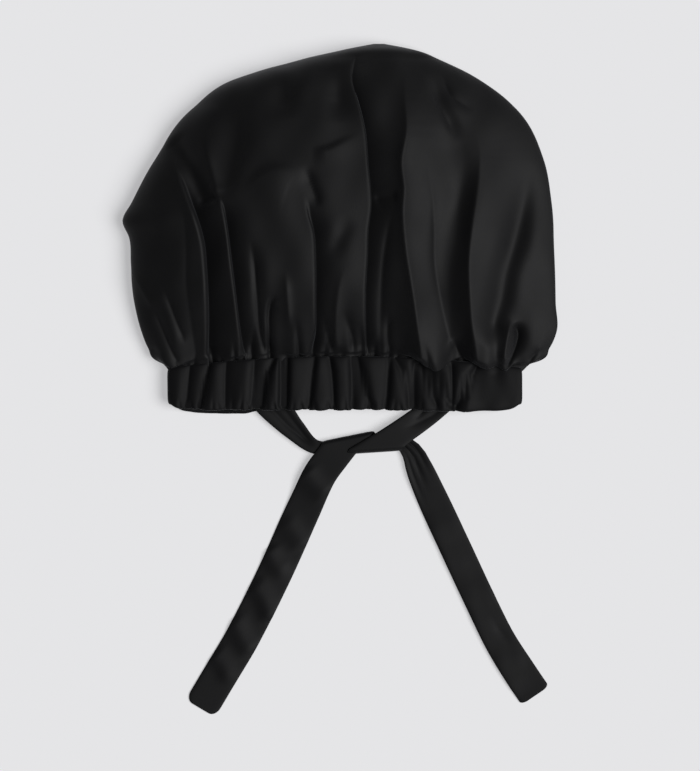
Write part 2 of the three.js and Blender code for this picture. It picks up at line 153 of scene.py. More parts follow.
# The crown's folds, in millimetres from the middle of the part, roughly from left to right
CROWN_FOLDS = [
    Fold([(-123, 18), (-134, 39), (-142.5, 57)], rise=-2.4, left=4, right=5, head=0.4),
    Fold([(-137, 48), (-148, 66), (-157, 82.5)], rise=1.6, left=4, right=6, foot=0.3),
    Fold([(-115.5, 27), (-126, 51), (-133, 70.5)], rise=-1.8, left=2.5, right=4, foot=0.2, head=0.4),
    Fold([(-108, 18), (-112.5, 49), (-115, 71), (-115, 98), (-117, 121), (-124, 141)], rise=-1.6, left=8,
         right=7, head=0.4),
    Fold([(-98, 18), (-97.5, 43.5), (-98, 66), (-99, 81), (-101, 101), (-106.5, 121), (-112.5, 136),
         (-123, 160)], rise=-10.5, left=1.2, right=11, under=3),
    Fold([(-96, 122), (-105, 139), (-114, 157.5), (-129, 180)], rise=-4.5, left=6, right=8, foot=0.3,
         head=0.1, soft=True),
    Fold([(-70.5, 18), (-73.5, 36), (-77, 62), (-80, 87), (-82.5, 107), (-85.5, 124.5), (-90, 137)],
         rise=-6.5, left=1, right=8, head=0.2, under=2.5),
    Fold([(-91.5, 135), (-95, 151), (-100, 171), (-103, 187.5)], rise=2.6, left=5, right=7, foot=0.1,
         head=0.5),
    Fold([(-88.5, 130), (-86, 148.5), (-80, 175), (-75, 202.5), (-69, 216)], rise=-3.2, left=15, right=9,
         foot=0.2, head=0.5, soft=True),
    Fold([(-108, 132), (-100, 133.5), (-91.5, 136)], rise=-1.5, left=3, right=3, foot=0.3, head=0.2,
         soft=True),
    Fold([(-55.5, 18), (-60, 36), (-62, 61), (-64.5, 91), (-67.5, 105)], rise=-3.6, left=3, right=4),
    Fold([(-52, 18), (-53, 36), (-53, 49), (-50, 58.5), (-44, 58)], rise=-4, left=1.5, right=3),
    Fold([(-37.5, 36), (-39, 58.5), (-40.5, 81)], rise=1.8, left=4, right=2.5, foot=0.3, head=0.4),
    Fold([(-20, 18), (-17, 32), (-16.5, 58.5), (-16.5, 86), (-18, 109), (-22, 122), (-25.5, 136)],
         rise=-6.5, left=1, right=5.5, head=0.25, under=2.5),
    Fold([(-15, 126), (-21, 143), (-27, 159)], rise=-3, left=4, right=3, foot=0.3, head=0.4),
    Fold([(-73.5, 135), (-54, 152), (-36, 153), (-24, 145.5)], rise=1.7, left=5, right=16, foot=0.4,
         head=0.5, soft=True),
    Fold([(-5, 18), (-8, 32), (-13.5, 52.5)], rise=-3.5, left=3, right=4, head=0.8),
    Fold([(-2, 19.5), (-3, 36), (-1, 66), (4, 85)], rise=2.2, left=2.5, right=4, foot=0.1, head=0.6),
    Fold([(-7.5, 87), (1.5, 107), (9, 122)], rise=-1.8, left=6, right=6, foot=0.4, head=0.4, soft=True),
    Fold([(10.5, 16.5), (9, 32), (2, 52.5)], rise=-4.5, left=2.5, right=5, head=0.8),
    Fold([(16.5, 16.5), (16, 30), (13.5, 45)], rise=-3, left=2.5, right=2.5, head=0.8),
    Fold([(-42, 192), (-42, 214.5), (-40.5, 231)], rise=-2.2, left=9, right=9, foot=0.4, head=0.5,
         soft=True),
    Fold([(-2, 189), (-1, 212), (1, 235.5)], rise=-3, left=8, right=9, foot=0.4, head=0.5, soft=True),
    Fold([(-21, 169), (-9, 170), (4, 176), (18, 182)], rise=1.7, left=2.2, right=9, foot=0.25, head=0.7,
         soft=True),
    Fold([(22, 16.5), (21, 36), (21, 66), (22.5, 91), (23, 109.5), (25.5, 128), (25, 141), (22.5, 161),
         (21, 181), (18, 196), (14, 211), (11, 221), (10.5, 233), (13, 243)], rise=-6.5, left=0.9,
         right=6.5, head=0.12, under=3),
    Fold([(31, 18), (31, 43.5), (33, 86), (38, 121), (40.5, 130)], rise=-1.8, left=2.5, right=4),
    Fold([(27, 134), (34.5, 136), (43, 137)], rise=-2, left=1.6, right=5, foot=0.2, head=0.2),
    Fold([(60, 25), (55.5, 53), (52, 73.5), (48, 98), (46, 124), (47, 141), (45, 161), (49, 186),
         (48, 211), (50, 234)], rise=8, left=9, right=15, head=0.35),
    Fold([(38, 18), (36, 32), (37, 51)], rise=-3, left=3, right=3, head=0.4),
    Fold([(82, 34.5), (78, 49), (75, 61), (71, 86), (70.5, 111), (69, 136), (65, 156), (62, 172.5)],
         rise=-1.6, left=2.5, right=6, head=0.5),
    Fold([(82.5, 19.5), (81, 49), (81, 81), (86, 106), (88.5, 131), (91.5, 154.5), (89, 173), (80, 196),
         (73, 216)], rise=-4.5, left=15, right=10, head=0.5, soft=True),
    Fold([(102, 21), (97, 49), (95, 86), (97, 111), (100, 131), (103.5, 154), (104, 173), (95, 193.5)],
         rise=7.5, left=11, right=20, head=0.5),
    Fold([(88, 176), (82.5, 191), (75, 206), (67, 231)], rise=-2.6, left=4, right=6, foot=0.3, head=0.4,
         soft=True),
    Fold([(100.5, 199.5), (84, 211), (80, 218), (76, 229.5)], rise=-1.5, left=4, right=2.5, foot=0.4,
         head=0.4),
    Fold([(109.5, 30), (120, 56), (125, 81), (134, 111), (142.5, 156), (145, 171)], rise=-6, left=11,
         right=8, foot=0.1, head=0.4, soft=True),
    Fold([(126, 15), (132, 25), (134, 34), (130, 43)], rise=-6, left=2, right=3, foot=0.1, head=0.25),
    Fold([(122, 19.5), (124, 32), (128, 46)], rise=2.6, left=4, right=3, foot=0.2),
    Fold([(94.5, 12), (88.5, 22.5), (85, 34.5)], rise=-3.5, left=3, right=3, head=0.4),
    Fold([(141, 12), (145, 19.5), (151.5, 25)], rise=-3, left=3, right=3, head=0.4),
]

# Where the crown bulges down over the band, from left to right
CROWN_LOBES = [
    Lobe(-140, 3), Lobe(-125, 6), Lobe(-112, 2), Lobe(-90, 1), Lobe(-77, 2.6), Lobe(-67, 0.6),
    Lobe(-54, 2.2), Lobe(-45, 0.5), Lobe(-30, 3), Lobe(-20, 0.6), Lobe(-7, 2.6), Lobe(1, 0.5),
    Lobe(11, 2.4), Lobe(20, 0.6), Lobe(32, 2.2), Lobe(45, 1), Lobe(57, 5), Lobe(73, 14), Lobe(84, 6),
    Lobe(92, 2), Lobe(102, 6), Lobe(110, 9), Lobe(117, 6), Lobe(124, 9), Lobe(131, 3), Lobe(145, 4),
]
LOBE_LIFT = 0.55  # a lobe stands this share of its reach above the band
LOBE_FOOT = (0.004, 0.018)  # shares of the way up between which a lobe swells
LOBE_HEAD = (0.02, 0.2)  # and between which it ends
LOBE_SIDE = 0.93  # lobes end from this share across to the side
CROWN_TURN_IN = 5.0  # what the seam takes in of the crown's rim, inside the casing
TURN_IN_END = 0.012  # share of the way up where the rim is out of the casing
CREST_LEAN = 0.2  # the puff is highest this share of the way to the left
DOME_POWER = 0.64  # below 1 the top layer is flatter in its middle
DISH_GAIN = 1.7  # how soon the bottom layer comes down to the table
SIDE_START = 0.86  # share across where the top layer starts to calm towards the side
SIDE_CALM = 0.65  # what the side takes from the folds
SIDE_TUCK_CALM = 0.6  # and from the gathers
SIDE_WRAP_START = 0.8  # share across where folds start to run on into the bottom layer
SIDE_WRAP_SHARE = 0.35  # and how much of them does
SEWN_SHARE = 0.4  # what the seam leaves of the folds
SEWN_END = 0.04  # share of the way up where they are whole
TOP_START = 0.95  # share of the way up where folds run out to the top
TOP_CALM = 0.75  # what the top takes from them
CROWN_WAVES = Waves(seed=3, height=0.4, across=(20, 60), lengthwise=(45, 180))
WAVES_END = 0.1  # share of the way up where the wrinkles are whole

# Gathers along the seam: runs from place to place with their spacing, and the ranges of their draws
TUCK_SEED = 7
TUCK_RUNS = [(-122.0, -18.0, 8.0), (-12.0, 44.0, 9.5), (52.0, 128.0, 12.0)]
TUCK_SPREAD = (0.4, 1.9)
TUCK_LENGTH = (6.0, 40.0)
TUCK_DEPTH = (1.8, 5.0)
TUCK_LEAN = 0.28
TUCK_BEND = 0.4  # share of its lean that a tuck has half way up
TUCK_VARIETY = (0.7, 1.1)
TUCK_LEFT = (1.0, 2.2)
TUCK_RIGHT = (1.6, 3.0)
TUCK_FADE = 0.9
FOOT_ROOM = 2.0  # a drawn crease starts this far before the edge that it rises from
BACK_TUCK_SEED = 23
BACK_TUCK_RUNS = [(-122.0, 128.0, 7.0)]
BACK_TUCK_SHARE = 0.5  # the table presses the bottom layer's gathers
BACK_TUCK_SIDE = 0.9  # and they end from this share across to the side

# The band's creases, from left to right
BAND_FOLDS = [
    Fold([(-112, 15), (-114, -6), (-116, -23)], rise=-3.4, left=6, right=4, head=0),
    Fold([(-97, 15), (-101, -4), (-105, -22)], rise=-3.9, left=2.5, right=6, head=0),
    Fold([(-85, 15), (-86, -4), (-86, -22)], rise=-3.4, left=7, right=4, head=0),
    Fold([(-64, 15), (-65, -3), (-66, -21)], rise=-3.1, left=6, right=3, head=0),
    Fold([(-49, 15), (-56, -3), (-59, -22)], rise=-4.2, left=1.6, right=6, head=0),
    Fold([(-44.5, 15), (-44, -3), (-44.5, -22)], rise=-3.4, left=3.5, right=1.4, head=0),
    Fold([(-39, 15), (-39.5, -3), (-40, -22)], rise=-3.4, left=1.4, right=4, head=0),
    Fold([(-19, 15), (-21, -3), (-23, -22)], rise=-4.2, left=1.8, right=6, head=0),
    Fold([(-7.5, 15), (-5, -3), (-4.5, -22)], rise=-3.9, left=1.8, right=5, head=0),
    Fold([(9, 15), (9.5, -3), (8.5, -22)], rise=-3.9, left=6, right=2.2, head=0),
    Fold([(12.5, 14), (15, 4), (23, -21)], rise=-3.6, left=2, right=5, head=0),
    Fold([(37, 15), (36, -3), (34.5, -22)], rise=-4.2, left=2.2, right=6, head=0),
    Fold([(41, 15), (50, -4), (53, -22)], rise=-3.4, left=5, right=3, head=0),
    Fold([(56.5, 12), (55, -3), (54, -22)], rise=-3.6, left=4, right=2.5, head=0),
    Fold([(60, 9), (67, -8), (73, -22)], rise=-3.4, left=4, right=4, head=0),
    Fold([(67, 8), (76, -8), (82, -20)], rise=-2.6, left=3, right=4, head=0),
    Fold([(83.5, 10), (84, -4), (84, -22)], rise=-2.9, left=2.5, right=3, head=0),
    Fold([(103, 10), (95, -4), (87, -22)], rise=-4.7, left=5, right=2.4, head=0),
    Fold([(98, 12), (96, -4), (94, -22)], rise=3.5, left=6, right=28, head=0, soft=True),
    Fold([(116, 9), (117, 3), (116, -4)], rise=-1.6, left=5, right=5, foot=0.4, head=0.6, soft=True),
]
HEM_TUCK_SEED = 11
HEM_TUCK_RUN = (-120.0, 88.0)
HEM_TUCK_SPACING = 7.5
HEM_TUCK_LENGTH = (5.0, 11.0)
HEM_TUCK_DEPTH = (0.6, 1.5)
HEM_TUCK_WIDTH = (1.2, 2.2)
HEM_TUCK_SWAY = 3.0
HEM_TUCK_FADE = 0.8
BACK_FOLD_SEED = 31
BACK_FOLD_RUN = (-118.0, 126.0)
BACK_FOLD_SPACING = 12.0
BACK_FOLD_DEPTH = (1.0, 2.0)
BACK_FOLD_WIDTH = (2.0, 4.0)
BACK_FOLD_SWAY = 4.0
BAND_SPREAD = (0.6, 1.4)  # range of the spacing of the band's drawn creases
BAND_SIDE = 0.93  # share across where the front's creases start to end
BAND_BACK_STAND = 0.5  # the back layer's ruffle, as a share of the front's
BAND_BACK_SHARE = 0.6  # and how much of its creases shows
BAND_DEEPEST = -0.3  # the deepest crease, as a share of the ruffle
BAND_WAVES = Waves(seed=5, height=0.12, across=(9, 24), lengthwise=(20, 60))
CASING_SIDES = (0.45, 0.6)  # powers that square the casing's section, along it and through it
CASING_EDGE = 0.55  # share of the ruffle at the casing's edges
CASING_INSIDE = 0.25  # and on its inner face
SCALLOP = 0.45  # how far a crease pulls the hem up, as a share of its depth
SCALLOP_START = 0.6  # share of the way down where that begins
BAND_BACK_DROP = 3.0  # the back layer shows below the front at the left
BAND_BACK_DROP_FROM = (-52.0, -74.0)  # places across between which it comes out
BAND_BACK_LIFT = 1.0  # and is this much shorter than the front elsewhere
BAND_BACK_POWER = 8  # how close to the side the two lower edges meet
BAND_CORNER = 5.0
BAND_CORNER_POWER = 30  # how close to the side the corner starts
BAND_GLOSS_SHARE = 0.6  # the band's gloss, as a share of the crown's
HEM_SLACK = 2.2  # what the lower edge drops between its tucks

# The ties' ways from the sewn end to the tip, before any fold
TIE_LEFT_WAY = [
    Stop(-62, -8, 4.4, 25), Stop(-47.5, -24, 4.4, 23), Stop(-34.5, -38.5, 3.9, 17),
    Stop(-18.5, -51.8, 3.3, 10.8), Stop(4, -50.4, 3.35, 8.8), Stop(28.5, -47.8, 3.35, 9),
    Stop(44.5, -47.6, 3.3, 10.5), Stop(54, -55.5, 3.4, 16), Stop(60, -69, 3.2, 20.5),
    Stop(67, -85, 2.0, 22.5), Stop(86, -126, 1.0, 23.5), Stop(108.5, -174, 1.0, 23.5),
    Stop(120.5, -198, 1.0, 24), Stop(135.5, -222, 1.0, 25), Stop(147, -239, 1.0, 25),
]
TIE_LEFT_PACE = [Pace(0, 0, 1.6), Pace(325, 0, 1.6), Pace(333, 0, 0.6), Pace(345, 0, 0.6)]
TIE_LEFT_TIP = 3.0
TIE_LEFT_FOLDS = [
    Fold([(-4, 0), (-2, 30), (0, 62)], rise=-1.6, left=2, right=3.5, head=0.2),
    Fold([(6, 4), (4, 36), (1.5, 62)], rise=-1, left=3, right=1.6, head=0.2),
    Fold([(2, 122), (4, 140), (6, 160)], rise=-1.6, left=1.6, right=2.4, head=0.6),
    Fold([(-1.5, 122), (-1, 145), (-2, 172)], rise=-1.9, left=1.6, right=2.6, head=0.6),
    Fold([(-4, 126), (-6, 150), (-7.5, 180)], rise=-1.3, left=1.6, right=2.6, head=0.6),
    Fold([(-13, 185), (-13, 260), (-13, 340)], rise=1.3, left=30, right=15, foot=0.1, head=0.1,
         soft=True),
    Fold([(-13, 190), (0, 199), (13, 203)], rise=0.6, left=9, right=7, foot=0.3, soft=True),
    Fold([(-13, 219), (0, 226), (13, 235)], rise=0.8, left=8, right=6, foot=0.1, head=0.5, soft=True),
    Fold([(-13, 250), (0, 253), (12, 262)], rise=0.9, left=7, right=8, foot=0.4, head=0.1, soft=True),
    Fold([(-12, 268), (-2, 278), (12, 281)], rise=0.7, left=6, right=5, foot=0.1, head=0.4, soft=True),
    Fold([(2, 276), (3, 288), (7, 301)], rise=-0.6, left=2, right=3, foot=0.3, head=0.4),
    Fold([(-12, 302), (0, 312), (12, 316)], rise=0.6, left=8, right=8, foot=0.3, soft=True),
]
TIE_RIGHT_WAY = [
    Stop(81.5, -13, 4.4, 19), Stop(66.6, -25.8, 4.4, 19), Stop(45.4, -40.9, 6.7, 19.5),
    Stop(26, -53.5, 7.3, 20.5), Stop(7, -65.5, 7.3, 24), Stop(-8, -76.5, 7.3, 25),
    Stop(-20.5, -86.5, 6.4, 25), Stop(-41.5, -111, 2.8, 26), Stop(-75.3, -151.5, 2.4, 26),
    Stop(-111.5, -191, 2.4, 26), Stop(-132, -210.5, 2.4, 26), Stop(-154.5, -232, 2.4, 26),
]
TIE_RIGHT_TURNS = [Turn(27.5, -51.9, 3.7, 3.28, False), Turn(5.6, -46.6, 11.5, 2.45, True)]
TIE_RIGHT_PACE = [
    Pace(0, 0, 1.6), Pace(40, -1.4, 1.6), Pace(54, -1.66, 0.8), Pace(76, -1.66, 0.8),
    Pace(84, -1.25, 0.8), Pace(106, -1.22, 0.8), Pace(118, -1.1, 1.6), Pace(160, 0, 1.6),
    Pace(298, 0, 1.6), Pace(306, 0, 0.6), Pace(325, 0, 0.6),
]
TIE_RIGHT_TIP = 8.0
TIE_RIGHT_FOLDS = [
    Fold([(4, 2), (3, 20), (-1, 44)], rise=-1.1, left=2, right=3, head=0.4),
    Fold([(-5, 14), (-3, 24), (-1, 34)], rise=-1.3, left=2, right=2, foot=0.3, head=0.4),
    Fold([(-13, 128), (0, 134), (13, 138)], rise=1.7, left=8, right=7, foot=0.2, head=0.2, soft=True),
    Fold([(-13, 166), (0, 173), (13, 182)], rise=1.6, left=9, right=7, foot=0.3, head=0.2, soft=True),
    Fold([(-13, 192), (-2, 201), (13, 205)], rise=1.9, left=7, right=8, foot=0.1, head=0.4, soft=True),
    Fold([(-13, 221), (0, 228), (13, 240)], rise=2.3, left=6, right=8, foot=0.2, head=0.1, soft=True),
    Fold([(-13, 252), (0, 262), (13, 269)], rise=2.2, left=7, right=7, foot=0.1, head=0.2, soft=True),
    Fold([(-13, 283), (0, 288), (12, 299)], rise=1.6, left=6, right=8, foot=0.1, head=0.4, soft=True),
]
TURN_STRETCH = 0.4  # share of a turn's half circle that the tie's own length gives to it
TIE_PACKED = 2.6  # thickness of a tie gathered inside the knot
TIP_WIDTH = 0.55  # share of the width that is left at the end of a tip
TIE_EDGE_POWER = 10  # how close to its edges a tie thins
TIE_EDGE = 0.12  # square of the share of its thickness that is left there

# The flat cuts in metres, the satin and the stage
FLOAT_SCALE = (1700.0, 240.0, 1.0)  # threads' floats to a metre, across and along the cloth
CLOUD_SCALE = 28.0
CLOUD_SHARE = 0.55
ROUGH_DROP = 0.09  # taken off the roughness, before clouds and floats add to it
ROUGH_CLOUD = 0.1
ROUGH_FLOAT = 0.08
FLOOR_HALF = 6.0
TOOTH_COLOUR = (0.7, 0.7, 0.7, 1.0)
TOOTH_SHARE = 0.02
FLOOR_GLOW = 0.455  # light of the floor's own, for its pale shadows
PALE = (0.98, 0.98, 1.0, 1.0)
KEY_FROM = (0.74, -0.16, 0.95)  # where the light comes from
KEY_SPREAD = 40  # degrees
CAMERA_PLACE = (0.0075, -0.0056, 4.0)
SHARP_AT = 0.015  # height that is to scale in the picture
PICTURE_HEIGHT = 0.57825  # metres that fill the picture's height

# How finely the pieces are meshed
CROWN_FRONT_COLUMNS = 320
CROWN_BACK_COLUMNS = 100
CROWN_ROWS = 180
BAND_FRONT_COLUMNS = 420
BAND_BACK_COLUMNS = 200
BAND_RING = 36
TIE_COLUMNS = 22
FOLD_REACH = 6.0  # a fold is worked out this many slopes away from its line
FOLLOW_PASSES = 3  # the seam's curve moves a column's Y, so its place is found in passes
FOLLOW_LIMIT = 0.97  # and stays within this share of the way from the middle to a side
ROW_CROWDING = 0.085  # rows lie closer at the seam and at the top
COLUMN_CROWDING = 0.45  # columns lie closer at the sides
FOLLOW_FADE = 30.0  # above a fold, its column leaves the line over this length
FOLD_ROUND = 0.5  # radius at the bottom of a crease
CREASE_CORE = (0.6, 0.5)  # share and width of a crease's crisp line
CREASE_BODY = (0.4, 1.5)  # share and width of the soft dip around it
LINE_SAMPLES = 33
TIE_SMALL = 0.05  # step for a tie's slopes
WAVE_COUNT = 14


def lerp(low, high, share):
    """The value at a share of the way from low to high."""
    return low + (high - low) * share


def ease(value, low, high):
    """0 below low, 1 above high and a soft change between them."""
    share = np.clip((value - low) / (high - low), 0, 1)
    return share * share * (3 - 2 * share)


def along(keys, values, at):
    """Values on a smooth curve through a table's rows."""
    keys = np.asarray(keys, float)
    values = np.asarray(values, float)
    slopes = np.gradient(values, keys)
    i = np.clip(np.searchsorted(keys, at, side="right") - 1, 0, len(keys) - 2)
    span = keys[i + 1] - keys[i]
    t = np.clip((at - keys[i]) / span, 0, 1)
    bend = t * (1 - t) * span
    straight = lerp(values[i], values[i + 1], t * t * (3 - 2 * t))
    return straight + bend * ((1 - t) * slopes[i] - t * slopes[i + 1])


def column(rows, name):
    """One column of a table."""
    return [getattr(row, name) for row in rows]


def smooth_line(points, samples):
    """Samples on a smooth curve through points, evenly many for each stretch."""
    p = np.asarray(points, float)
    ends = np.vstack([2 * p[0] - p[1], p, 2 * p[-1] - p[-2]])
    gaps = np.sqrt(np.linalg.norm(np.diff(ends, axis=0), axis=1))
    place = np.linspace(0, len(p) - 1, samples)
    i = np.minimum(place.astype(int), len(p) - 2)
    t = (place - i)[:, None]
    a, b, c, d = (ends[i + k] for k in range(4))
    before, here, after = (gaps[i + k][:, None] for k in range(3))
    start = here * ((b - a) / before - (c - a) / (before + here)) + (c - b)
    finish = (c - b) + here * ((d - c) / after - (d - b) / (here + after))
    return b + start * t + (3 * (c - b) - 2 * start - finish) * t**2 + (2 * (b - c) + start + finish) * t**3


def line_field(x, y, line):
    """Distance from a line, positive on its right side going from foot to head, and the share along it."""
    steps = np.diff(line, axis=0)
    lengths = np.hypot(steps[:, 0], steps[:, 1])
    starts = np.concatenate([[0], np.cumsum(lengths)])
    nearest = np.full(x.shape, np.inf)
    side = np.zeros(x.shape)
    share = np.zeros(x.shape)
    for (px, py), (dx, dy), length, start in zip(line, steps, lengths, starts):
        t = np.clip(((x - px) * dx + (y - py) * dy) / length**2, 0, 1)
        away = np.hypot(x - px - t * dx, y - py - t * dy)
        closer = away < nearest
        nearest = np.where(closer, away, nearest)
        side = np.where(closer, (x - px) * dy - (y - py) * dx, side)
        share = np.where(closer, (start + t * length) / starts[-1], share)
    return nearest * np.sign(side), share


def fold_heights(x, y, folds):
    """How far folds lift the cloth at places in millimetres."""
    return fold_moves(x, y, folds)[0]


def fold_moves(x, y, folds):
    """How far folds lift the cloth, and how far they draw it to the left under the cloth beside it."""
    height = np.zeros(x.shape)
    drawn = np.zeros(x.shape)
    for fold in folds:
        line = smooth_line(fold.line, LINE_SAMPLES)
        reach = FOLD_REACH * max(fold.left, fold.right)
        low, high = line.min(axis=0) - reach, line.max(axis=0) + reach
        near = (x > low[0]) & (x < high[0]) & (y > low[1]) & (y < high[1])
        off, share = line_field(x[near], y[near], line)
        width = np.where(off < 0, fold.left, fold.right)
        fade = np.ones(off.shape)
        if fold.foot:
            fade = fade * ease(share, 0, fold.foot)
        if fold.head:
            fade = fade * ease(1 - share, 0, fold.head)
        if fold.soft:
            shape = np.exp(-((off / width) ** 2))
        else:
            crisp = np.exp(-(np.hypot(off, FOLD_ROUND) - FOLD_ROUND) / (CREASE_CORE[1] * width))
            body = np.exp(-((off / (CREASE_BODY[1] * width)) ** 2))
            shape = CREASE_CORE[0] * crisp + CREASE_BODY[0] * body
        height[near] += fold.rise * fade * shape
        if fold.under:
            ramp = np.exp(-np.maximum(off, 0) / (2 * fold.under))
            drawn[near] += fold.under * fade * ramp * ease(off, -2 * FOLD_ROUND, 0)
    return height, drawn


def wrinkles(x, y, waves):
    """Low soft wrinkles, as waves with seeded lengths and directions."""
    rng = random.Random(waves.seed)
    total = np.zeros(x.shape)
    for _ in range(WAVE_COUNT):
        kx = rng.choice((-1, 1)) * 2 * math.pi / rng.uniform(*waves.across)
        ky = 2 * math.pi / rng.uniform(*waves.lengthwise)
        total += np.sin(kx * x + ky * y + rng.uniform(0, 2 * math.pi))
    return waves.height * total / math.sqrt(WAVE_COUNT)


def seam_y(share):
    """Y of the seam at a share across it."""
    return SEAM_Y - SEAM_DIP * share * share


def mouth_share(x, half):
    """Share across the mouth at a place in millimetres."""
    middle = (MOUTH.left + MOUTH.right) / 2
    return np.clip((x / half - middle) / ((MOUTH.right - MOUTH.left) / 2), -1, 1)


def tucks(runs, seed, half, deepest):
    """Short creases that rise from the seam where the crown is gathered into the band."""
    rng = random.Random(seed)
    rows = []
    for start, end, spacing in runs:
        x = start
        while x < end:
            foot = float(seam_y(mouth_share(x, half)))
            size = rng.random() ** 2
            length = lerp(*TUCK_LENGTH, size)
            lean = rng.uniform(-TUCK_LEAN, TUCK_LEAN) * length
            depth = deepest * lerp(*TUCK_DEPTH, size) * rng.uniform(*TUCK_VARIETY)
            middle = (x + TUCK_BEND * lean, foot + length / 2)
            rows.append(
                Fold(
                    line=[(x, foot - FOOT_ROOM), middle, (x + lean, foot + length)],
                    rise=-depth,
                    left=rng.uniform(*TUCK_LEFT),
                    right=rng.uniform(*TUCK_RIGHT),
                    head=TUCK_FADE,
                )
            )
            x += spacing * rng.uniform(*TUCK_SPREAD)
    return rows


def grid_faces(rows, columns, closed_rows=False):
    """Quads of a grid whose columns close on each other, and its rows too where that is asked."""
    spans = rows if closed_rows else rows - 1
    r, c = np.meshgrid(np.arange(spans), np.arange(columns), indexing="ij")
    up = (r + 1) % rows
    right = (c + 1) % columns
    quads = np.stack([r * columns + c, r * columns + right, up * columns + right, up * columns + c], axis=-1)
    return quads.reshape(-1, 4).tolist()


def new_piece(name, points, faces, weave, material):
    """A smooth mesh object from points in millimetres, with the cloth's own lengths as its UV map."""
    mesh = bpy.data.meshes.new(name)
    mesh.from_pydata((np.asarray(points) * MM).tolist(), [], faces)
    corners = np.empty(len(mesh.loops), dtype=np.int32)
    mesh.loops.foreach_get("vertex_index", corners)
    layer = mesh.uv_layers.new(name="weave")
    layer.data.foreach_set("uv", (np.asarray(weave)[corners] * MM).astype(np.float32).ravel())
    mesh.shade_smooth()
    mesh.materials.append(material)
    mesh.update()
    piece = bpy.data.objects.new(name, mesh)
    bpy.context.collection.objects.link(piece)
    return piece


def section_columns(front, back):
    """Shares across a section for its top layer, left to right, and its bottom layer back again."""
    t = np.linspace(0, 1, front)
    top = lerp(2 * t - 1, -np.cos(math.pi * t), COLUMN_CROWDING)
    bottom = np.cos(math.pi * np.arange(1, back + 1) / (back + 1))
    return np.concatenate([top, bottom]), np.arange(front + back) < front


def section_shape(section, share, is_front, half, puff):
    """X and Z round sections whose bottom layer the table presses flat."""
    left, right, crest, edge, floor = section
    middle = (left + right) / 2 * half
    x = middle + (right - left) / 2 * half * share
    leaning = share + CREST_LEAN * (1 - share**2)
    dome = np.clip(1 - leaning**2, 0, 1) ** DOME_POWER
    dish = np.minimum(1, DISH_GAIN * np.sqrt(np.clip(1 - share**2, 0, 1)))
    top = lerp(edge, crest, dome)
    bottom = lerp(edge, floor, dish)
    return x, puff * np.where(is_front, top, bottom)


def grid_normals(points):
    """Outward directions of a grid with closed columns."""
    around = np.roll(points, -1, axis=1) - np.roll(points, 1, axis=1)
    upward = np.gradient(points, axis=0)
    normal = np.cross(around, upward)
    size = np.linalg.norm(normal, axis=2, keepdims=True)
    return normal / np.maximum(size, 1e-9)


def follow_folds(share, is_front, up, left, right, top):
    """Shares across every row, with one column of the top layer laid along each fold that tucks under."""
    lines = [smooth_line(fold.line, LINE_SAMPLES) for fold in CROWN_FOLDS if fold.under]
    lines.sort(key=lambda line: -line[:, 1].max())
    middle = (left + right) / 2
    reach = (right - left) / 2
    tracks = []
    for line in lines:
        order = np.argsort(line[:, 1])
        head = line[:, 1].max()
        place = np.zeros_like(up)
        for _ in range(FOLLOW_PASSES):
            y = lerp(seam_y(place), top, up)
            x = np.interp(y, line[order, 1], line[order, 0])
            place = np.clip((x - middle) / reach, -FOLLOW_LIMIT, FOLLOW_LIMIT)
        live = 1 - ease(y, head, head + FOLLOW_FADE)
        wanted = place[live == 1].mean()
        home = share[is_front][np.abs(share[is_front] - wanted).argmin()]
        tracks.append((home, place[:, 0], live[:, 0]))
    # Above its own fold a column keeps its distance from the fold that reaches highest
    lead_home, lead_place, _ = tracks[0]
    shares = np.repeat(share[None, :], len(up), axis=0)
    tracks.sort(key=lambda track: track[0])
    for row in range(len(up)):
        lead = ((-1, lead_home, 1), (-1, lead_place[row], 1))
        homes = [home for home, _, _ in tracks]
        places = [lerp(np.interp(home, *lead), place[row], live[row]) for home, place, live in tracks]
        moved = np.interp(share, [-1, *homes, 1], [-1, *places, 1])
        shares[row] = np.where(is_front, moved, share)
    return shares


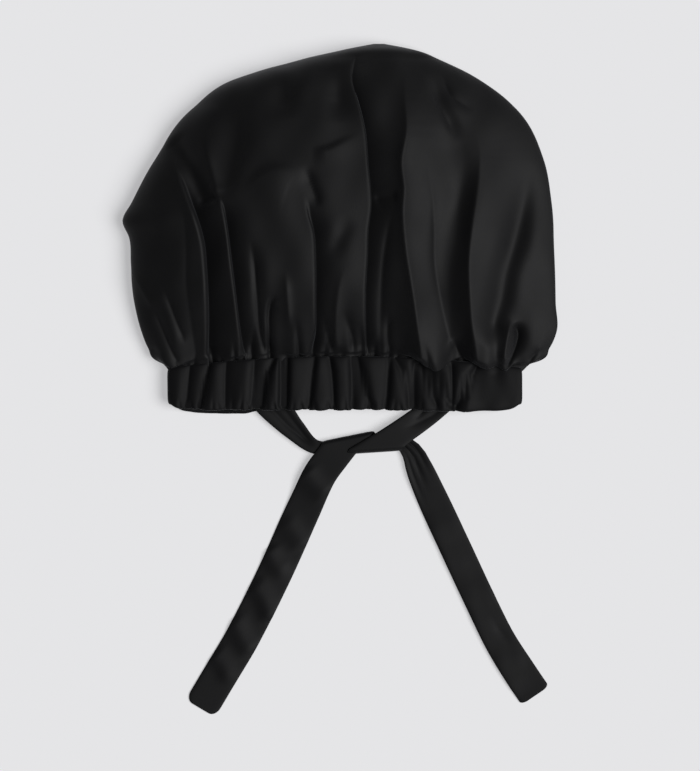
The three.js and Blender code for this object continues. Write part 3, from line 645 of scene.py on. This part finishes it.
def crown_points(settings):
    """The crown's grid of points in millimetres, and its cloth lengths."""
    half = settings.width / MM / 2
    puff = settings.puff / MM
    top = settings.top / MM
    share, is_front = section_columns(CROWN_FRONT_COLUMNS, CROWN_BACK_COLUMNS)
    t = np.linspace(0, 1, CROWN_ROWS)
    up = (t - ROW_CROWDING * np.sin(2 * math.pi * t))[:, None]
    keys = column(CROWN_SECTIONS, "up")
    names = ("left", "right", "crest", "edge", "floor")
    section = [along(keys, column(CROWN_SECTIONS, name), up) for name in names]
    section[-1] = np.maximum(section[-1], 0)
    share = follow_folds(share, is_front, up, section[0] * half, section[1] * half, top)
    x, z = section_shape(section, share, is_front, half, puff)
    y = lerp(seam_y(share), top, up) - CROWN_TURN_IN * (1 - ease(up, 0, TURN_IN_END))
    points = np.stack([x, y, z], axis=-1)
    normal = grid_normals(points)
    out = np.abs(share)
    near_side = ease(out, SIDE_START, 1)
    keep = np.where(is_front, 1 - SIDE_CALM * near_side, SIDE_WRAP_SHARE * ease(out, SIDE_WRAP_START, 1))
    sewn = lerp(SEWN_SHARE, 1, ease(up, 0, SEWN_END))
    lifted, drawn = fold_moves(x, y, CROWN_FOLDS)
    folds = lifted * settings.fold_depth * (1 - TOP_CALM * ease(up, TOP_START, 1))
    folds += wrinkles(x, y, CROWN_WAVES) * ease(up, 0, WAVES_END)
    front_tucks = tucks(TUCK_RUNS, TUCK_SEED, half, settings.tuck_depth)
    back_tucks = tucks(BACK_TUCK_RUNS, BACK_TUCK_SEED, half, settings.tuck_depth)
    gathers = (1 - SIDE_TUCK_CALM * near_side) * fold_heights(x, y, front_tucks) * is_front
    below = BACK_TUCK_SHARE * (1 - ease(out, BACK_TUCK_SIDE, 1)) * fold_heights(x, y, back_tucks) * ~is_front
    height = keep * sewn * folds + gathers - below
    points += normal * height[..., None]
    points[..., 0] -= keep * sewn * is_front * drawn
    lobes = along(column(CROWN_LOBES, "x"), column(CROWN_LOBES, "reach"), x)
    bulge = ease(up, *LOBE_FOOT) * (1 - ease(up, *LOBE_HEAD)) * is_front * (1 - ease(out, LOBE_SIDE, 1))
    points[..., 1] -= lobes * bulge
    points[..., 2] += LOBE_LIFT * lobes * bulge
    points[..., 2] = np.maximum(points[..., 2], REST_GAP)
    weave = np.stack([share * half, y], axis=-1)
    return points, weave


def build_crown(settings, material):
    """The crown: one round of satin, gathered at its rim and puffed, with the mouth left open."""
    points, weave = crown_points(settings)
    rows, columns = points.shape[:2]
    faces = grid_faces(rows, columns)
    tip = points[-1].mean(axis=0)
    tip_index = rows * columns
    last = (rows - 1) * columns
    faces += [(last + c, last + (c + 1) % columns, tip_index) for c in range(columns)]
    everything = np.vstack([points.reshape(-1, 3), tip])
    lengths = np.vstack([weave.reshape(-1, 2), weave[-1].mean(axis=0)])
    return new_piece("satin_crown", everything, faces, lengths, material)


def hem_tucks(y_low):
    """Short creases that rise from the band's lower edge."""
    rng = random.Random(HEM_TUCK_SEED)
    rows = []
    x, end = HEM_TUCK_RUN
    while x < end:
        length = rng.uniform(*HEM_TUCK_LENGTH)
        sway = rng.uniform(-HEM_TUCK_SWAY, HEM_TUCK_SWAY)
        rows.append(
            Fold(
                line=[(x, y_low - FOOT_ROOM), (x + sway, y_low + length)],
                rise=-rng.uniform(*HEM_TUCK_DEPTH),
                left=rng.uniform(*HEM_TUCK_WIDTH),
                right=rng.uniform(*HEM_TUCK_WIDTH),
                head=HEM_TUCK_FADE,
            )
        )
        x += HEM_TUCK_SPACING * rng.uniform(*BAND_SPREAD)
    return rows


def back_band_folds(top, bottom):
    """The creases of the band's back layer."""
    rng = random.Random(BACK_FOLD_SEED)
    rows = []
    x, end = BACK_FOLD_RUN
    while x < end:
        sway = rng.uniform(-BACK_FOLD_SWAY, BACK_FOLD_SWAY)
        rows.append(
            Fold(
                line=[(x, top), (x + sway, bottom)],
                rise=-rng.uniform(*BACK_FOLD_DEPTH),
                left=rng.uniform(*BACK_FOLD_WIDTH),
                right=rng.uniform(*BACK_FOLD_WIDTH),
                head=0.0,
            )
        )
        x += BACK_FOLD_SPACING * rng.uniform(*BAND_SPREAD)
    return rows


def band_points(settings, crown):
    """The band's grid of points in millimetres: a row for each place round its casing, and its lengths."""
    half = crown.width / MM / 2
    puff = crown.puff / MM
    depth = settings.depth / MM
    wall = settings.wall / MM
    ruffle = settings.ruffle / MM
    share, is_front = section_columns(BAND_FRONT_COLUMNS, BAND_BACK_COLUMNS)
    x, z = section_shape(MOUTH[1:], share, is_front, half, puff)
    out_x = -(np.roll(z, -1) - np.roll(z, 1))
    out_z = np.roll(x, -1) - np.roll(x, 1)
    size = np.hypot(out_x, out_z)
    out_x, out_z = out_x / size, out_z / size
    turn = 2 * math.pi * np.arange(BAND_RING) / BAND_RING
    down = (0.5 + 0.5 * np.sign(np.cos(turn)) * np.abs(np.cos(turn)) ** CASING_SIDES[0])[:, None]
    skin = (np.sign(np.sin(turn)) * np.abs(np.sin(turn)) ** CASING_SIDES[1])[:, None]
    lowest = SEAM_Y - depth - HEM_SLACK + BAND_CORNER * np.abs(share) ** BAND_CORNER_POWER
    drop = lerp(-BAND_BACK_LIFT, BAND_BACK_DROP, ease(-x, -BAND_BACK_DROP_FROM[0], -BAND_BACK_DROP_FROM[1]))
    lowest = lowest - np.where(is_front, 0, drop * (1 - share**BAND_BACK_POWER))
    high = seam_y(share)
    y = lerp(high, lowest, down)
    folds = BAND_FOLDS + hem_tucks(SEAM_Y - depth)
    wide = np.broadcast_to(x, y.shape)
    front = fold_heights(wide, y, folds) * is_front * (1 - ease(np.abs(share), BAND_SIDE, 1))
    back_rows = back_band_folds(SEAM_Y, SEAM_Y - depth - BAND_BACK_DROP)
    back = fold_heights(wide, y, back_rows) * ~is_front
    stand = ruffle * np.where(is_front, 1.0, BAND_BACK_STAND) + front + BAND_BACK_SHARE * back
    stand = np.maximum(stand, BAND_DEEPEST * ruffle) + wrinkles(wide, y, BAND_WAVES)
    weight = np.where(skin > 0, lerp(CASING_EDGE, 1, skin), lerp(CASING_EDGE, CASING_INSIDE, -skin))
    offset = skin * wall / 2 + weight * stand
    scallop = SCALLOP * (ruffle - stand) * ease(down, SCALLOP_START, 1)
    points = np.stack([x + out_x * offset, y + scallop, z + out_z * offset], axis=-1)
    points[..., 2] = np.maximum(points[..., 2], REST_GAP)
    weave = np.stack([wide, y], axis=-1)
    return points, weave


def build_band(settings, crown, material):
    """The band: an elastic in a gathered casing, closed round its own section."""
    points, weave = band_points(settings, crown)
    rows, columns = points.shape[:2]
    faces = [quad[::-1] for quad in grid_faces(rows, columns, closed_rows=True)]
    return new_piece("satin_band", points.reshape(-1, 3), faces, weave.reshape(-1, 2), material)


class TieLine:
    """A tie's flat way by distance along it: place, heading, lift and width."""

    def __init__(self, way):
        stretch = 40
        self.line = smooth_line([(stop.x, stop.y) for stop in way], stretch * (len(way) - 1) + 1)
        steps = np.hypot(*np.diff(self.line, axis=0).T)
        self.at = np.concatenate([[0], np.cumsum(steps)])
        self.length = self.at[-1]
        self.keys = self.at[::stretch]
        self.lifts = column(way, "lift")
        self.widths = column(way, "width")
        ahead = np.gradient(self.line, self.at, axis=0)
        self.ahead = ahead / np.linalg.norm(ahead, axis=1, keepdims=True)

    def place(self, s):
        """X and Y at a distance."""
        return np.interp(s, self.at, self.line[:, 0]), np.interp(s, self.at, self.line[:, 1])

    def heading(self, s):
        """Unit direction at a distance."""
        return np.interp(s, self.at, self.ahead[:, 0]), np.interp(s, self.at, self.ahead[:, 1])

    def lift(self, s):
        """Height of the tie's middle at a distance."""
        return along(self.keys, self.lifts, s)

    def width(self, s):
        """What is left of the tie's width at a distance."""
        return along(self.keys, self.widths, s)


def turn_over(points, turn, reached):
    """Points carried round a turn's line, and which of them went past it."""
    heading = math.radians(turn.heading)
    side = 1 if turn.up else -1
    nx, ny = -math.sin(heading) * side, math.cos(heading) * side
    past = (points[..., 0] - turn.x) * nx + (points[..., 1] - turn.y) * ny
    past = np.where(reached, np.maximum(past, 0), 0)
    half_turn = TURN_STRETCH * math.pi * turn.radius
    angle = math.pi * np.minimum(past / half_turn, 1)
    move = turn.radius * np.sin(angle) - np.maximum(past - half_turn, 0) - past
    rise = turn.radius * (1 - np.cos(angle)) * side
    turned = points + np.stack([move * nx, move * ny, rise], axis=-1)
    return turned, past > 0


def tie_surface(line, s, across, turns, folds):
    """The middle surface of a tie at distances along and across it. A turn is reached through the last."""
    x, y = line.place(s)
    ahead_x, ahead_y = line.heading(s)
    lift = line.lift(s) + fold_heights(across, s, folds)
    points = np.stack([x - across * ahead_y, y + across * ahead_x, lift], axis=-1)
    reached = np.ones(points.shape[:2], bool)
    for turn in turns:
        points, reached = turn_over(points, turn, reached)
    return points


def build_tie(name, way, turns, pace, folds, tip, settings, material):
    """A tie: a pressed double strip with soft edges and a rounded tip, laid along its way."""
    line = TieLine(way)
    full = settings.width / MM
    thickness = settings.thickness / MM
    last = line.length - TIE_SMALL
    keys = column(pace, "along")
    stations = [0.0]
    while stations[-1] < last:
        step = float(along(keys, column(pace, "step"), stations[-1]))
        stations.append(min(stations[-1] + step, last))
    s = np.array(stations)[:, None]
    rounding = np.clip((s - (line.length - tip)) / tip, 0, 1)
    width = line.width(s) * lerp(TIP_WIDTH, 1, np.sqrt(1 - rounding**2))
    spread = np.sin(np.linspace(-math.pi / 2, math.pi / 2, TIE_COLUMNS))
    side = np.sqrt(np.clip(1 - np.abs(spread) ** TIE_EDGE_POWER, TIE_EDGE, 1))
    across_share = np.concatenate([spread, spread[::-1]])
    skin = np.concatenate([-side, side[::-1]])
    across = across_share * width / 2
    slope = along(keys, column(pace, "slope"), s)
    here = np.clip(s + across * slope, 0, last)
    shape = (turns, folds)
    points = tie_surface(line, here, across, *shape)
    ahead = tie_surface(line, here + TIE_SMALL, across, *shape) - points
    aside = tie_surface(line, here, across + TIE_SMALL, *shape) - points
    normal = np.cross(ahead, aside)
    normal /= np.linalg.norm(normal, axis=2, keepdims=True)
    thick = np.minimum(thickness * full / line.width(s), TIE_PACKED)
    points = points + normal * (skin * thick / 2)[..., None]
    points[..., 2] = np.maximum(points[..., 2], REST_GAP)
    rows, columns = points.shape[:2]
    faces = [quad[::-1] for quad in grid_faces(rows, columns)]
    faces.append(list(range(columns)))
    faces.append(list(range((rows - 1) * columns, rows * columns))[::-1])
    weave = np.stack([across, here], axis=-1)
    return new_piece(name, points.reshape(-1, 3), faces, weave.reshape(-1, 2), material)


class Value:
    """A node's output that takes part in sums: each operator adds its own Math node."""

    def __init__(self, finish, socket):
        self.finish = finish
        self.socket = socket

    def _math(self, operation, first, second):
        return self.finish.node("ShaderNodeMath", {"operation": operation}, {0: first, 1: second})

    def __add__(self, other):
        return self._math("ADD", self, other)

    def __radd__(self, other):
        return self._math("ADD", other, self)

    def __mul__(self, other):
        return self._math("MULTIPLY", self, other)

    def __rmul__(self, other):
        return self._math("MULTIPLY", other, self)


class Finish:
    """A material whose nodes are made one at a time."""

    def __init__(self, name):
        self.material = bpy.data.materials.new(name)
        self.material.use_nodes = True
        self.tree = self.material.node_tree
        self.tree.nodes.clear()

    def node(self, kind, settings, inputs, output=0):
        """A node with its settings, then the values or links of its sockets."""
        made = self.tree.nodes.new(kind)
        for name, value in settings.items():
            setattr(made, name, value)
        for name, value in inputs.items():
            if isinstance(value, Value):
                self.tree.links.new(value.socket, made.inputs[name])
            else:
                made.inputs[name].default_value = value
        return Value(self, made.outputs[output]) if made.outputs else None

    def surface(self, **inputs):
        """The shader of the surface and the material's output."""
        sockets = {name.replace("_", " "): value for name, value in inputs.items()}
        shader = self.node("ShaderNodeBsdfPrincipled", {}, sockets)
        self.node("ShaderNodeOutputMaterial", {}, {"Surface": shader})
        return self.material


def satin(name, settings, gloss_share=1.0):
    """Black satin: long fine floats of thread, a soft sheen, and a slow change of tone over the cloth."""
    finish = Finish(name)
    place = finish.node("ShaderNodeTexCoord", {}, {}, output="UV")
    stretched = finish.node("ShaderNodeVectorMath", {"operation": "MULTIPLY"}, {0: place, 1: FLOAT_SCALE})
    floats = finish.node("ShaderNodeTexNoise", {}, {"Vector": stretched, "Scale": 1.0, "Detail": 2.0})
    cloud = finish.node("ShaderNodeTexNoise", {}, {"Vector": place, "Scale": CLOUD_SCALE, "Detail": 3.0})
    blend = CLOUD_SHARE * cloud + (1 - CLOUD_SHARE) * floats
    colour = finish.node(
        "ShaderNodeMix",
        {"data_type": "RGBA"},
        {0: blend, 6: (*settings.shade, 1.0), 7: (*settings.colour, 1.0)},
        output=2,
    )
    rough = (settings.roughness - ROUGH_DROP) + ROUGH_CLOUD * cloud + ROUGH_FLOAT * floats
    bump = finish.node("ShaderNodeBump", {}, {"Height": floats, "Strength": 0.16, "Distance": 0.0003})
    return finish.surface(
        Base_Color=colour,
        Roughness=rough,
        Normal=bump,
        Specular_IOR_Level=settings.gloss * gloss_share,
        Sheen_Weight=settings.sheen,
        Sheen_Roughness=0.4,
        Sheen_Tint=(0.85, 0.87, 0.95, 1.0),
    )


def paper(name, colour):
    """The pale floor: matt, with a faint tooth."""
    finish = Finish(name)
    place = finish.node("ShaderNodeTexCoord", {}, {}, output="Object")
    tooth = finish.node("ShaderNodeTexNoise", {}, {"Vector": place, "Scale": 900.0, "Detail": 2.0})
    bump = finish.node("ShaderNodeBump", {}, {"Height": tooth, "Strength": 0.01, "Distance": 0.0001})
    tone = finish.node(
        "ShaderNodeMix",
        {"data_type": "RGBA"},
        {0: TOOTH_SHARE * tooth, 6: (*colour, 1.0), 7: TOOTH_COLOUR},
        output=2,
    )
    return finish.surface(
        Base_Color=tone,
        Roughness=0.9,
        Normal=bump,
        Specular_IOR_Level=0.1,
        Emission_Color=PALE,
        Emission_Strength=FLOOR_GLOW,
    )


class CrownSettings(PropertyGroup):
    """Sizes of the crown."""

    width: FloatProperty(
        name="Width", description="Across the widest point", default=0.324, min=0.1, unit="LENGTH"
    )
    top: FloatProperty(
        name="Top", description="Y of the top edge", default=0.251, min=0.05, unit="LENGTH"
    )
    puff: FloatProperty(
        name="Puff", description="Height of the middle above the table", default=0.046, min=0.01,
        unit="LENGTH",
    )
    fold_depth: FloatProperty(
        name="Fold depth", description="Share of the full depth of the folds", default=1.0, min=0.0,
        subtype="FACTOR",
    )
    tuck_depth: FloatProperty(
        name="Tuck depth", description="Share of the full depth of the gathers", default=1.0, min=0.0,
        subtype="FACTOR",
    )


class BandSettings(PropertyGroup):
    """Sizes of the elastic band."""

    depth: FloatProperty(
        name="Depth", description="From the seam to the lower edge", default=0.039, min=0.01, unit="LENGTH"
    )
    wall: FloatProperty(
        name="Wall", description="Thickness of the elastic in its casing", default=0.003, min=0.001,
        unit="LENGTH",
    )
    ruffle: FloatProperty(
        name="Ruffle", description="How far the casing stands off the elastic", default=0.0028, min=0.0,
        unit="LENGTH",
    )


class TieSettings(PropertyGroup):
    """Sizes of the ties."""

    width: FloatProperty(
        name="Width", description="Width of a tie laid flat", default=0.025, min=0.005, unit="LENGTH"
    )
    thickness: FloatProperty(
        name="Thickness", description="Two pressed layers of satin", default=0.0012, min=0.0004, unit="LENGTH"
    )


class SatinSettings(PropertyGroup):
    """Colour and finish of the satin."""

    colour: FloatVectorProperty(
        name="Colour", description="Lighter tone of the satin", default=(0.0085, 0.0085, 0.0092),
        subtype="COLOR", min=0.0, max=1.0,
    )
    shade: FloatVectorProperty(
        name="Shade", description="Darker tone of the satin", default=(0.004, 0.004, 0.0044),
        subtype="COLOR", min=0.0, max=1.0,
    )
    roughness: FloatProperty(
        name="Roughness", description="Spread of the gloss", default=0.6, min=0.0, max=1.0, subtype="FACTOR"
    )
    gloss: FloatProperty(
        name="Gloss", description="Strength of the gloss", default=0.2, min=0.0, max=1.0, subtype="FACTOR"
    )
    sheen: FloatProperty(
        name="Sheen", description="Soft light along the folds", default=0.12, min=0.0, max=1.0,
        subtype="FACTOR",
    )


class StageSettings(PropertyGroup):
    """The floor and its light."""

    floor: FloatVectorProperty(
        name="Floor", description="Colour of the floor", default=(0.5, 0.5, 0.507), subtype="COLOR",
        min=0.0, max=1.0,
    )
    key: FloatProperty(
        name="Key", description="Strength of the broad light from the right", default=2.5, min=0.0
    )
    fill: FloatProperty(
        name="Fill", description="Strength of the light from all round", default=0.05, min=0.0
    )


class BonnetSettings(PropertyGroup):
    """All that a user may change."""

    crown: PointerProperty(type=CrownSettings)
    band: PointerProperty(type=BandSettings)
    ties: PointerProperty(type=TieSettings)
    satin: PointerProperty(type=SatinSettings)
    stage: PointerProperty(type=StageSettings)


def dress(piece, node):
    """Hangs a piece on the root body and hides the imported solid that it stands for."""
    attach(piece, "root")
    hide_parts(node)


class BONNET_OT_crown(Operator):
    """Build the gathered crown"""

    bl_idname = "bonnet.crown"
    bl_label = "Crown"

    def execute(self, context):
        settings = context.scene.bonnet
        crown = build_crown(settings.crown, satin("crown_satin", settings.satin))
        dress(crown, "crown")
        return {"FINISHED"}


class BONNET_OT_band(Operator):
    """Build the elastic band in its casing"""

    bl_idname = "bonnet.band"
    bl_label = "Band"

    def execute(self, context):
        settings = context.scene.bonnet
        finish = satin("band_satin", settings.satin, BAND_GLOSS_SHARE)
        band = build_band(settings.band, settings.crown, finish)
        dress(band, "band")
        return {"FINISHED"}


class BONNET_OT_ties(Operator):
    """Build the two ties and their half knot"""

    bl_idname = "bonnet.ties"
    bl_label = "Ties"

    def execute(self, context):
        settings = context.scene.bonnet
        finish = satin("tie_satin", settings.satin)
        left = build_tie(
            "satin_tie_left", TIE_LEFT_WAY, [], TIE_LEFT_PACE, TIE_LEFT_FOLDS, TIE_LEFT_TIP,
            settings.ties, finish,
        )
        right = build_tie(
            "satin_tie_right", TIE_RIGHT_WAY, TIE_RIGHT_TURNS, TIE_RIGHT_PACE, TIE_RIGHT_FOLDS,
            TIE_RIGHT_TIP, settings.ties, finish,
        )
        dress(left, "tie_left")
        dress(right, "tie_right")
        return {"FINISHED"}


class BONNET_OT_stage(Operator):
    """Set the floor, the light and the camera straight above"""

    bl_idname = "bonnet.stage"
    bl_label = "Stage"

    def execute(self, context):
        settings = context.scene.bonnet.stage
        half = FLOOR_HALF
        corners = [(-half, -half, 0), (half, -half, 0), (half, half, 0), (-half, half, 0)]
        sheet = bpy.data.meshes.new("floor")
        sheet.from_pydata(corners, [], [(0, 1, 2, 3)])
        sheet.materials.append(paper("floor_paper", settings.floor))
        floor = bpy.data.objects.new("floor", sheet)
        context.collection.objects.link(floor)
        key = bpy.data.lights.new("key", "SUN")
        key.energy = settings.key
        key.angle = math.radians(KEY_SPREAD)
        lamp = bpy.data.objects.new("key", key)
        lamp.rotation_euler = Vector(KEY_FROM).to_track_quat("Z", "Y").to_euler()
        context.collection.objects.link(lamp)
        world = bpy.data.worlds.new("studio")
        world.use_nodes = True
        background = world.node_tree.nodes["Background"]
        background.inputs["Color"].default_value = PALE
        background.inputs["Strength"].default_value = settings.fill
        context.scene.world = world
        context.scene.view_settings.view_transform = "Standard"
        lens = bpy.data.cameras.new("camera")
        lens.sensor_width = 36.0
        lens.lens = lens.sensor_width * (CAMERA_PLACE[2] - SHARP_AT) / PICTURE_HEIGHT
        lens.clip_end = 100.0
        camera = bpy.data.objects.new("camera", lens)
        camera.location = CAMERA_PLACE
        context.collection.objects.link(camera)
        context.scene.camera = camera
        return {"FINISHED"}


class BONNET_PT_panel(Panel):
    """The bonnet's pieces and sizes"""

    bl_idname = "BONNET_PT_panel"
    bl_label = "Sleep Bonnet"
    bl_space_type = "VIEW_3D"
    bl_region_type = "UI"
    bl_category = "Bonnet"

    def draw(self, context):
        settings = context.scene.bonnet
        for operator in OPERATORS:
            self.layout.operator(operator.bl_idname)
        for group in (settings.crown, settings.band, settings.ties, settings.satin, settings.stage):
            box = self.layout.box()
            for name in group.__annotations__:
                box.prop(group, name)


OPERATORS = (BONNET_OT_crown, BONNET_OT_band, BONNET_OT_ties, BONNET_OT_stage)
CLASSES = (
    CrownSettings, BandSettings, TieSettings, SatinSettings, StageSettings, BonnetSettings, *OPERATORS,
    BONNET_PT_panel,
)


def register():
    """Makes the classes and settings known."""
    for cls in CLASSES:
        bpy.utils.register_class(cls)
    bpy.types.Scene.bonnet = PointerProperty(type=BonnetSettings)


def unregister():
    """Takes them away again."""
    del bpy.types.Scene.bonnet
    for cls in reversed(CLASSES):
        bpy.utils.unregister_class(cls)


def main():
    """Builds the bonnet and its stage."""
    register()
    bpy.ops.bonnet.stage()
    bpy.ops.bonnet.crown()
    bpy.ops.bonnet.band()
    bpy.ops.bonnet.ties()


if __name__ == "__main__":
    main()
